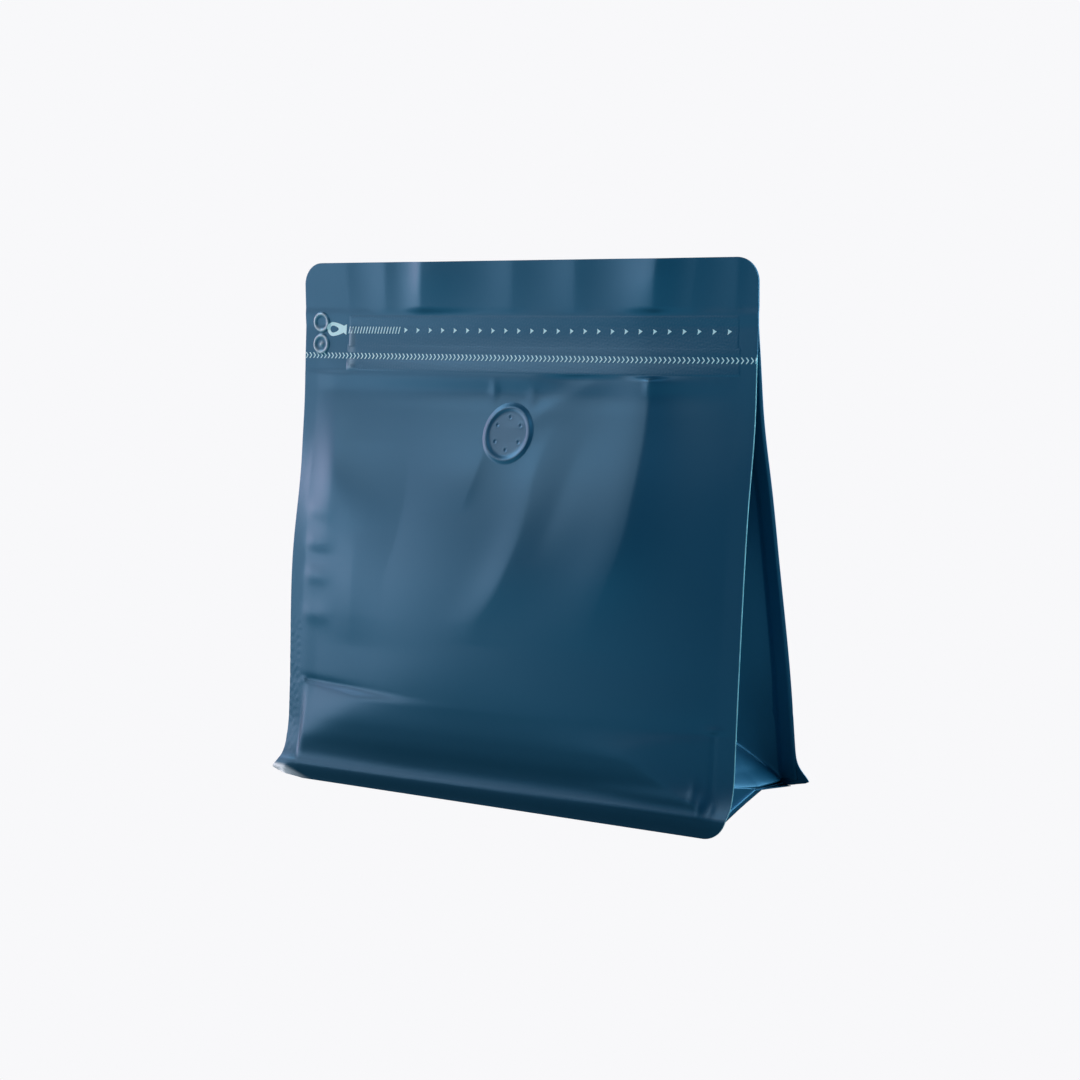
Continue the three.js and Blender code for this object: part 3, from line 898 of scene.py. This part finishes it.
# %% [markdown]
# ## The print
#
# The print is a few small marks in white ink, most of them repeated in a row. Geometry Nodes suit that:
# one tree takes a mark, how many there are and how far apart, sets them out along a line, and drops each
# point of them onto the front by a ray, so that the ink follows every fold. The tree ends with plain
# geometry and its ink, and the result is kept as a plain mesh.

# %% Marks, drawn once each
INK_PROUD = 0.05
INK_SUNK = 0.25


def make_prism(name, loops):
    """A thin closed prism from one outline, or from an outer and an inner outline of as many points."""
    outer = [np.array(loop, float) for loop in loops]
    count = len(outer[0])
    layers = [(loop, level) for loop in outer for level in (-INK_PROUD, INK_SUNK)]
    points = [(x, level, z) for loop, level in layers for x, z in loop]
    faces = []
    if len(outer) == 1:
        faces += [list(range(count)), list(range(2 * count - 1, count - 1, -1))]
    for k in range(count):
        n = (k + 1) % count
        faces.append((k, k + count, n + count, n))
        if len(outer) == 2:
            faces.append((k + 2 * count, n + 2 * count, n + 3 * count, k + 3 * count))
            faces.append((k, n, n + 2 * count, k + 2 * count))
            faces.append((k + count, k + 3 * count, n + 3 * count, n + count))
    return bpy.data.objects.new(name, closed_mesh(name, points, faces))


CHEVRON = ((-0.6, -1.1), (-0.15, -1.1), (0.7, 0), (-0.15, 1.1), (-0.6, 1.1), (0.22, 0))
ARROW = ((-0.7, -1.0), (0.9, 0.15), (-0.6, 1.0), (-0.45, 0.1))
CUFF = ((-1.0, -1.2), (0.7, -2.2), (0.9, 1.9), (-0.8, 1.2))
STROKE = ((-0.6, -1.3), (-0.2, -1.3), (0.6, 1.3), (0.2, 1.3))


def loop_outline(radius, reach, count=64):
    """A drop: round on the left and drawn out to the right by reach."""
    turns = np.linspace(0, 2 * math.pi, count, endpoint=False)
    stretch = np.where(np.cos(turns) > 0, reach * np.cos(turns) ** 2, 0)
    return [(radius * math.cos(a) + s, radius * math.sin(a)) for a, s in zip(turns, stretch)]


print("a chevron has", len(CHEVRON), "corners, an arrow", len(ARROW))

# %% The tree that sets marks in a row


def feed(node, feeds):
    """Feeds a node's inputs {input: socket or plain value}."""
    for name, source in feeds.items():
        if isinstance(source, bpy.types.NodeSocket):
            node.id_data.links.new(source, node.inputs[name])
        else:
            node.inputs[name].default_value = source


def add_node(tree, kind, place, feeds=None, **settings):
    """Adds a node, sets its properties by name, and feeds its inputs."""
    node = tree.nodes.new(kind)
    node.location = place
    for name, value in settings.items():
        setattr(node, name, value)
    feed(node, feeds or {})
    return node


PRINT_INPUTS = {"Geometry": "Geometry", "Mark": "Object", "Carrier": "Collection", "Count": "Int",
                "First": "Vector", "Pitch": "Float", "Ink": "Material"}
RAY_START_Y = -0.1
RAY_LENGTH = 0.2


def build_print_tree():
    """Sets copies of a mark along a row and drops them onto the carrier."""
    tree = bpy.data.node_groups.new("print_row", "GeometryNodeTree")
    for name, kind in PRINT_INPUTS.items():
        tree.interface.new_socket(name, in_out="INPUT", socket_type="NodeSocket" + kind)
    tree.interface.new_socket("Geometry", in_out="OUTPUT", socket_type="NodeSocketGeometry")

    def add(kind, place, output, feeds=None, **settings):
        """Adds a node and hands out the one socket that is used."""
        return add_node(tree, kind, place, feeds, **settings).outputs[output]

    given = add_node(tree, "NodeGroupInput", (-1200, 0)).outputs
    mark = add("GeometryNodeObjectInfo", (-900, -200), "Geometry", {"Object": given["Mark"]})
    step = add("ShaderNodeCombineXYZ", (-900, 100), "Vector", {"X": given["Pitch"]})
    row = add("GeometryNodeMeshLine", (-700, 100), "Mesh",
              {"Count": given["Count"], "Start Location": given["First"], "Offset": step}, mode="OFFSET")
    marks = add("GeometryNodeInstanceOnPoints", (-500, 100), "Instances", {"Points": row, "Instance": mark})
    realized = add("GeometryNodeRealizeInstances", (-300, 100), "Geometry", {"Geometry": marks})
    carried = add("GeometryNodeCollectionInfo", (-900, -400), "Instances", {"Collection": given["Carrier"]},
                  transform_space="RELATIVE")
    target = add("GeometryNodeRealizeInstances", (-700, -400), "Geometry", {"Geometry": carried})
    position = add("GeometryNodeInputPosition", (-900, -600), "Position")
    parts = add_node(tree, "ShaderNodeSeparateXYZ", (-700, -600), {"Vector": position}).outputs
    start = add("ShaderNodeCombineXYZ", (-500, -600), "Vector",
                {"X": parts["X"], "Y": RAY_START_Y, "Z": parts["Z"]})
    hit = add("GeometryNodeRaycast", (-300, -400), "Hit Position",
              {"Target Geometry": target, "Source Position": start, "Ray Direction": (0, 1, 0),
               "Ray Length": RAY_LENGTH})
    hit_y = add("ShaderNodeSeparateXYZ", (-100, -400), "Y", {"Vector": hit})
    shift = add("ShaderNodeCombineXYZ", (80, -400), "Vector", {"Y": hit_y})
    laid = add("GeometryNodeSetPosition", (260, 100), "Geometry", {"Geometry": realized, "Offset": shift})
    inked = add("GeometryNodeSetMaterial", (460, 100), "Geometry",
                {"Geometry": laid, "Material": given["Ink"]})
    add_node(tree, "NodeGroupOutput", (660, 100), {"Geometry": inked})
    return tree


carrying_pieces = (front_panel, press_zipper, tear_strip, pull_tab)
print_tree = build_print_tree()
carrier = bpy.data.collections.new("print_carrier")
for piece in carrying_pieces:
    carrier.objects.link(piece)
white_ink = bpy.data.materials.new("white_ink")
print("the print tree has", len(print_tree.nodes), "nodes")

# %% Print the rows


def print_row(name, outlines, first_x, z, count, pitch):
    """Prints count copies of a mark, first_x and pitch in millimetres, and keeps them as one plain mesh."""
    mark = make_prism(name + "_mark", outlines)
    host = add_object(name + "_host", bpy.data.meshes.new(name + "_host"))
    modifier = host.modifiers.new("print", "NODES")
    modifier.node_group = print_tree
    values = {"Mark": mark, "Carrier": carrier, "Count": count, "First": (first_x * MM, 0, z * MM),
              "Pitch": pitch * MM, "Ink": white_ink}
    for item in print_tree.interface.items_tree:
        if item.in_out == "INPUT" and item.name in values:
            modifier[item.identifier] = values[item.name]
    bpy.context.view_layer.update()
    evaluated = host.evaluated_get(bpy.context.evaluated_depsgraph_get())
    mesh = bpy.data.meshes.new_from_object(evaluated)
    mesh.name = name
    bpy.data.objects.remove(host)
    return add_piece(name, mesh)


PRINT_ROWS = (
    # name, outlines of the mark, x of the first one, height, how many, and how far apart
    ("chevron_print", [CHEVRON], -99.2, ZIPPER_ROW_Z, 108, 1.843),
    ("arrow_print", [ARROW], -51.0, 174.1, 25, 5.76),
    ("stroke_print", [STROKE], -78.2, 174.1, 18, 1.42),
    ("finger_loop_print", [loop_outline(2.7, 3.8), loop_outline(1.35, 1.4)], -86.4, 174.4, 1, 0.0),
    ("cuff_print", [CUFF], -80.5, 174.4, 1, 0.0),
)
prints = [print_row(*row) for row in PRINT_ROWS]

# %% [markdown]
# ## Finishes
#
# The film is blue metal seen through a satin lacquer. A plain metal would be too hard and a plain paint
# too dull, so one shader mixes the two: part metal, part lacquer with a faint violet gloss. Two effects
# recur on every film part, a fine grain and a slow drift in tone, so each is a node group that every
# material places with its own numbers.

# %% Effects that several finishes share


def new_group(name, inputs, outputs):
    """An empty shader node group, from its sockets: {name: default} in and {name: kind} out.

    Hands out the group, the sockets that bring its inputs, and its output node.
    """
    group = bpy.data.node_groups.new(name, "ShaderNodeTree")
    for socket, default in inputs.items():
        kind = "NodeSocketColor" if isinstance(default, tuple) else "NodeSocketFloat"
        group.interface.new_socket(socket, in_out="INPUT", socket_type=kind).default_value = default
    for socket, kind in outputs.items():
        group.interface.new_socket(socket, in_out="OUTPUT", socket_type="NodeSocket" + kind)
    given = add_node(group, "NodeGroupInput", (-900, 0))
    result = add_node(group, "NodeGroupOutput", (500, 0))
    return group, given.outputs, result


def build_grain():
    """Fine grain of a matte lacquer, as a height that feeds a Bump node."""
    group, given, result = new_group("lacquer_grain", {"Scale": 900.0, "Coarse": 0.5}, {"Height": "Float"})
    place = add_node(group, "ShaderNodeTexCoord", (-900, -200)).outputs["Object"]
    fine = add_node(group, "ShaderNodeTexNoise", (-500, 100),
                    {"Vector": place, "Scale": given["Scale"], "Detail": 3.0})
    coarse = add_node(group, "ShaderNodeTexNoise", (-500, -200),
                      {"Vector": place, "Scale": 110.0, "Detail": 2.0})
    total = add_node(group, "ShaderNodeMath", (50, 0),
                     {0: coarse.outputs["Fac"], 1: given["Coarse"], 2: fine.outputs["Fac"]},
                     operation="MULTIPLY_ADD")
    feed(result, {"Height": total.outputs["Value"]})
    return group


def build_drift():
    """A slow drift of tone and gloss over the film."""
    group, given, result = new_group(
        "tone_drift",
        {"Tone A": (0.03, 0.12, 0.22, 1.0), "Tone B": (0.04, 0.13, 0.24, 1.0), "Scale": 14.0,
         "Gloss": 0.4, "Gloss drift": 0.06},
        {"Tone": "Color", "Roughness": "Float"})
    place = add_node(group, "ShaderNodeTexCoord", (-900, -200)).outputs["Object"]
    drift = add_node(group, "ShaderNodeTexNoise", (-600, 0),
                     {"Vector": place, "Scale": given["Scale"], "Detail": 4.0}).outputs["Fac"]
    tone = add_node(group, "ShaderNodeMix", (-200, 150),
                    {"Factor": drift, "A": given["Tone A"], "B": given["Tone B"]}, data_type="RGBA")
    gloss = add_node(group, "ShaderNodeMath", (-200, -150),
                     {0: drift, 1: given["Gloss drift"], 2: given["Gloss"]}, operation="MULTIPLY_ADD")
    feed(result, {"Tone": tone.outputs["Result"], "Roughness": gloss.outputs["Value"]})
    return group


lacquer_grain = build_grain()
tone_drift = build_drift()
print("groups:", lacquer_grain.name, "and", tone_drift.name)

# %% The film's finishes
FILM_TONES = ((0.005, 0.088, 0.168), (0.008, 0.099, 0.188))
# The cut edge's pale colour, also used as a painted highlight line along the front's right border.
EDGE_AND_HIGHLIGHT_TONES = ((0.16, 0.34, 0.44), (0.62, 0.88, 0.96))
INK_TONES = ((0.62, 0.78, 0.88), (0.86, 0.97, 1.0))
# Paler film: real welding marks, and painted highlights on the pull tab's rim and the curled tip.
WHITENING_AND_HIGHLIGHT_TONE = (0.78, 0.87, 0.97)
VIOLET = (1.0, 0.86, 1.0)
WHITE = (1.0, 1.0, 1.0)


def add_tone(material, tones, **values):
    """Gives a material the drifting tone and gloss. Hands out its tree, its shader and the tone's socket."""
    material.use_nodes = True
    tree = material.node_tree
    shader = tree.nodes["Principled BSDF"]
    tone = add_node(tree, "ShaderNodeGroup", (-600, 200), node_tree=tone_drift)
    feed(tone, {"Tone A": (*tones[0], 1), "Tone B": (*tones[1], 1), **values})
    feed(shader, {"Base Color": tone.outputs["Tone"], "Roughness": tone.outputs["Roughness"]})
    return tree, shader, tone.outputs["Tone"]


def make_film(name, gloss, gloss_level, grain_scale, grain_depth, drift=0.06, tones=FILM_TONES,
              tone_scale=14.0, metal=0.45, gloss_tint=VIOLET):
    """A lacquered metal film, with its grain's depth in millimetres.

    gloss is the roughness that the drift starts from. A number that is the same all over the film sits
    on the shader's own socket.
    """
    material = bpy.data.materials.new(name)
    values = {"Gloss": gloss, "Gloss drift": drift, "Scale": tone_scale}
    tree, shader, tone = add_tone(material, tones, **values)
    # The pale attribute mixes in welding marks and painted highlights.
    pale = add_node(tree, "ShaderNodeAttribute", (-600, 450), attribute_name="pale")
    whitened = add_node(tree, "ShaderNodeMix", (-300, 300),
                        {"Factor": pale.outputs["Fac"], "A": tone, "B": (*WHITENING_AND_HIGHLIGHT_TONE, 1)}, data_type="RGBA")
    height = add_node(tree, "ShaderNodeGroup", (-600, -200), node_tree=lacquer_grain)
    feed(height, {"Scale": grain_scale})
    bump = add_node(tree, "ShaderNodeBump", (-300, -200),
                    {"Height": height.outputs["Height"], "Strength": 1.0, "Distance": grain_depth * MM})
    feed(shader, {"Base Color": whitened.outputs["Result"], "Normal": bump.outputs["Normal"],
                  "Metallic": metal, "Specular IOR Level": gloss_level, "Specular Tint": (*gloss_tint, 1)})
    return material


film_finish = make_film("foil_film", gloss=0.37, gloss_level=0.65, grain_scale=1500.0, grain_depth=0.012)
welded_finish = make_film("welded_film", gloss=0.36, gloss_level=0.7, grain_scale=1100.0, grain_depth=0.03)
valve_finish = make_film("valve_film", gloss=0.34, gloss_level=0.9, grain_scale=1500.0, grain_depth=0.012,
                         drift=0.05)
# The front's cut edge: pale film layers, and a painted highlight line.
edge_and_highlight_finish = make_film("cut_edge_and_highlight", gloss=0.4, gloss_level=0.5, grain_scale=900.0, grain_depth=0.02,
                        drift=0.1, tones=EDGE_AND_HIGHLIGHT_TONES, tone_scale=330.0, metal=0.0, gloss_tint=WHITE)
add_tone(white_ink, INK_TONES, Scale=160.0, Gloss=0.5)
print("finishes:", [material.name for material in bpy.data.materials if material.users])

# %% [markdown]
# ## Putting it on the frame
#
# Each piece gets its finish, rides on the bag's one body and hides the node it stands for.

# %% Ride, replace and slot


def settle(piece, finishes, node):
    """Gives a piece its finishes and its place in the frame."""
    if not piece.data.materials:
        for finish in finishes:
            piece.data.materials.append(finish)
    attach(piece, "root")
    if node:
        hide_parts(node)


settle(front_panel, (film_finish, edge_and_highlight_finish), "bag_body")
for piece in (back_panel, right_gusset, left_gusset, base_panel, right_end_flap, left_end_flap):
    settle(piece, (film_finish, film_finish), "bag_body")
for piece, node in ((press_zipper, "press_zipper"), (tear_strip, "tear_strip"), (pull_tab, "pull_tab")):
    settle(piece, (welded_finish, welded_finish), node)
settle(valve, (valve_finish,), "degassing_valve")
for piece in prints:
    settle(piece, (white_ink,), None)
for piece in carrying_pieces:
    carrier.objects.unlink(piece)

# %% [markdown]
# ## Light and floor
#
# A satin film shows its light as soft broad streaks. Six softboxes stand round the bag. Three are on the
# left: one level with the bag, a low narrow one and a long one above, which turn every slope that faces
# them bright. Two more lift the front and the right, and one behind lights the feet of the gussets. The
# floor and the background are pale in the picture and quieter in the film's reflections, as they would
# be with black boards just outside the view.

# %% Softboxes
LIGHT_DISTANCE = 0.9
LIGHT_AIM = Vector((0, 0, 0.09))
SOFTBOXES = (
    # name, azimuth, elevation, width and height, power, colour
    ("left_light", -95, 14, (0.65, 0.66), 5.2, (1.0, 0.75, 0.76)),
    ("low_light", -57, 3, (0.65, 0.24), 1.6, (1.0, 0.88, 0.82)),
    ("high_light", -85, 42, (0.95, 0.24), 3.4, (0.6, 0.92, 1.0)),
    ("front_light", -37, 33, (0.65, 0.44), 1.9, (1.0, 0.74, 0.6)),
    ("right_light", 25, 52, (0.33, 0.5), 1.0, (0.4, 0.85, 1.0)),
    ("back_light", 138, 24, (0.9, 0.9), 12, (0.42, 0.88, 1.0)),
)


def softbox(name, azimuth, elevation, size, power, colour):
    """A soft rectangular light that faces the bag and that the camera doesn't see."""
    out = outwards(math.radians(azimuth), math.radians(elevation))
    lamp = bpy.data.lights.new(name, "AREA")
    lamp.shape = "RECTANGLE"
    lamp.size, lamp.size_y = size
    lamp.energy = power
    lamp.color = colour
    light = add_object(name, lamp)
    light.location = LIGHT_AIM + out * LIGHT_DISTANCE
    light.rotation_mode = "QUATERNION"
    light.rotation_quaternion = out.to_track_quat("Z", "Y")
    light.visible_camera = False


for setting in SOFTBOXES:
    softbox(*setting)
print(len(SOFTBOXES), "lights, each", LIGHT_DISTANCE, "m from the bag")

# %% Floor and background
PAPER = (0.939, 0.939, 0.956, 1)
DIM_ROOM = (0.012, 0.06, 0.12, 1)
FLOOR_TONE = (0.08, 0.13, 0.14, 1)
# The floor's glow is painted light that only the film sees.
FLOOR_GLOW_TONE = (0.32, 0.9, 1.0, 1)
FLOOR_GLOW = 0.55
FLOOR_SHADOW_REACH = 0.2
FLOOR_HALF = 6.0


def add_distance(tree):
    """Nodes that measure how far a point of the floor lies from the bag's footprint, in metres."""
    footprint = (HALF_WIDTH * MM, BASE_HALF_DEPTH * MM, 0)
    reading = add_node(tree, "ShaderNodeTexCoord", (-1400, -300)).outputs["Object"]
    steps = (("ABSOLUTE", {}), ("SUBTRACT", {1: footprint}), ("MAXIMUM", {}), ("LENGTH", {}))
    for column, (operation, other) in enumerate(steps):
        place = (200 * column - 1200, -300)
        node = add_node(tree, "ShaderNodeVectorMath", place, {0: reading, **other}, operation=operation)
        reading = node.outputs["Value" if operation == "LENGTH" else "Vector"]
    return reading


def make_floor():
    """A floor that reads as plain paper in the picture. In the film it glows with painted light,
    which fades to a painted shadow close to the bag.
    """
    mesh = bpy.data.meshes.new("floor")
    corners = [(x * FLOOR_HALF, y * FLOOR_HALF, 0) for x, y in ((-1, -1), (1, -1), (1, 1), (-1, 1))]
    mesh.from_pydata(corners, [], [(0, 1, 2, 3)])
    material = bpy.data.materials.new("floor_paper")
    material.use_nodes = True
    tree = material.node_tree
    tree.nodes.remove(tree.nodes["Principled BSDF"])
    path = add_node(tree, "ShaderNodeLightPath", (-400, 300))
    seen = add_node(tree, "ShaderNodeEmission", (-400, 0), {"Color": PAPER})
    matte = add_node(tree, "ShaderNodeBsdfDiffuse", (-400, -150), {"Color": FLOOR_TONE})
    # The glow rises with distance from the bag's footprint: close to the bag it is a painted shadow.
    rise = add_node(tree, "ShaderNodeMapRange", (-400, -350),
                    {"Value": add_distance(tree), "From Max": FLOOR_SHADOW_REACH, "To Max": FLOOR_GLOW},
                    interpolation_type="SMOOTHSTEP")
    glow = add_node(tree, "ShaderNodeEmission", (-200, -350),
                    {"Color": FLOOR_GLOW_TONE, "Strength": rise.outputs["Result"]})
    lit = add_node(tree, "ShaderNodeAddShader", (0, -200),
                   {0: matte.outputs["BSDF"], 1: glow.outputs["Emission"]})
    mix = add_node(tree, "ShaderNodeMixShader", (200, 0),
                   {"Fac": path.outputs["Is Camera Ray"], 1: lit.outputs["Shader"],
                    2: seen.outputs["Emission"]})
    feed(tree.nodes["Material Output"], {"Surface": mix.outputs["Shader"]})
    mesh.materials.append(material)
    add_object("floor", mesh)


def make_background():
    """Pale to the camera, dim to the film."""
    world = bpy.data.worlds.new("background")
    world.use_nodes = True
    bpy.context.scene.world = world
    tree = world.node_tree
    path = add_node(tree, "ShaderNodeLightPath", (-600, 200))
    colour = add_node(tree, "ShaderNodeMix", (-300, 0),
                      {"Factor": path.outputs["Is Camera Ray"], "A": DIM_ROOM, "B": PAPER}, data_type="RGBA")
    feed(tree.nodes["Background"], {"Color": colour.outputs["Result"]})


make_floor()
make_background()
bpy.context.scene.view_settings.view_transform = "Standard"
print("view transform:", bpy.context.scene.view_settings.view_transform)
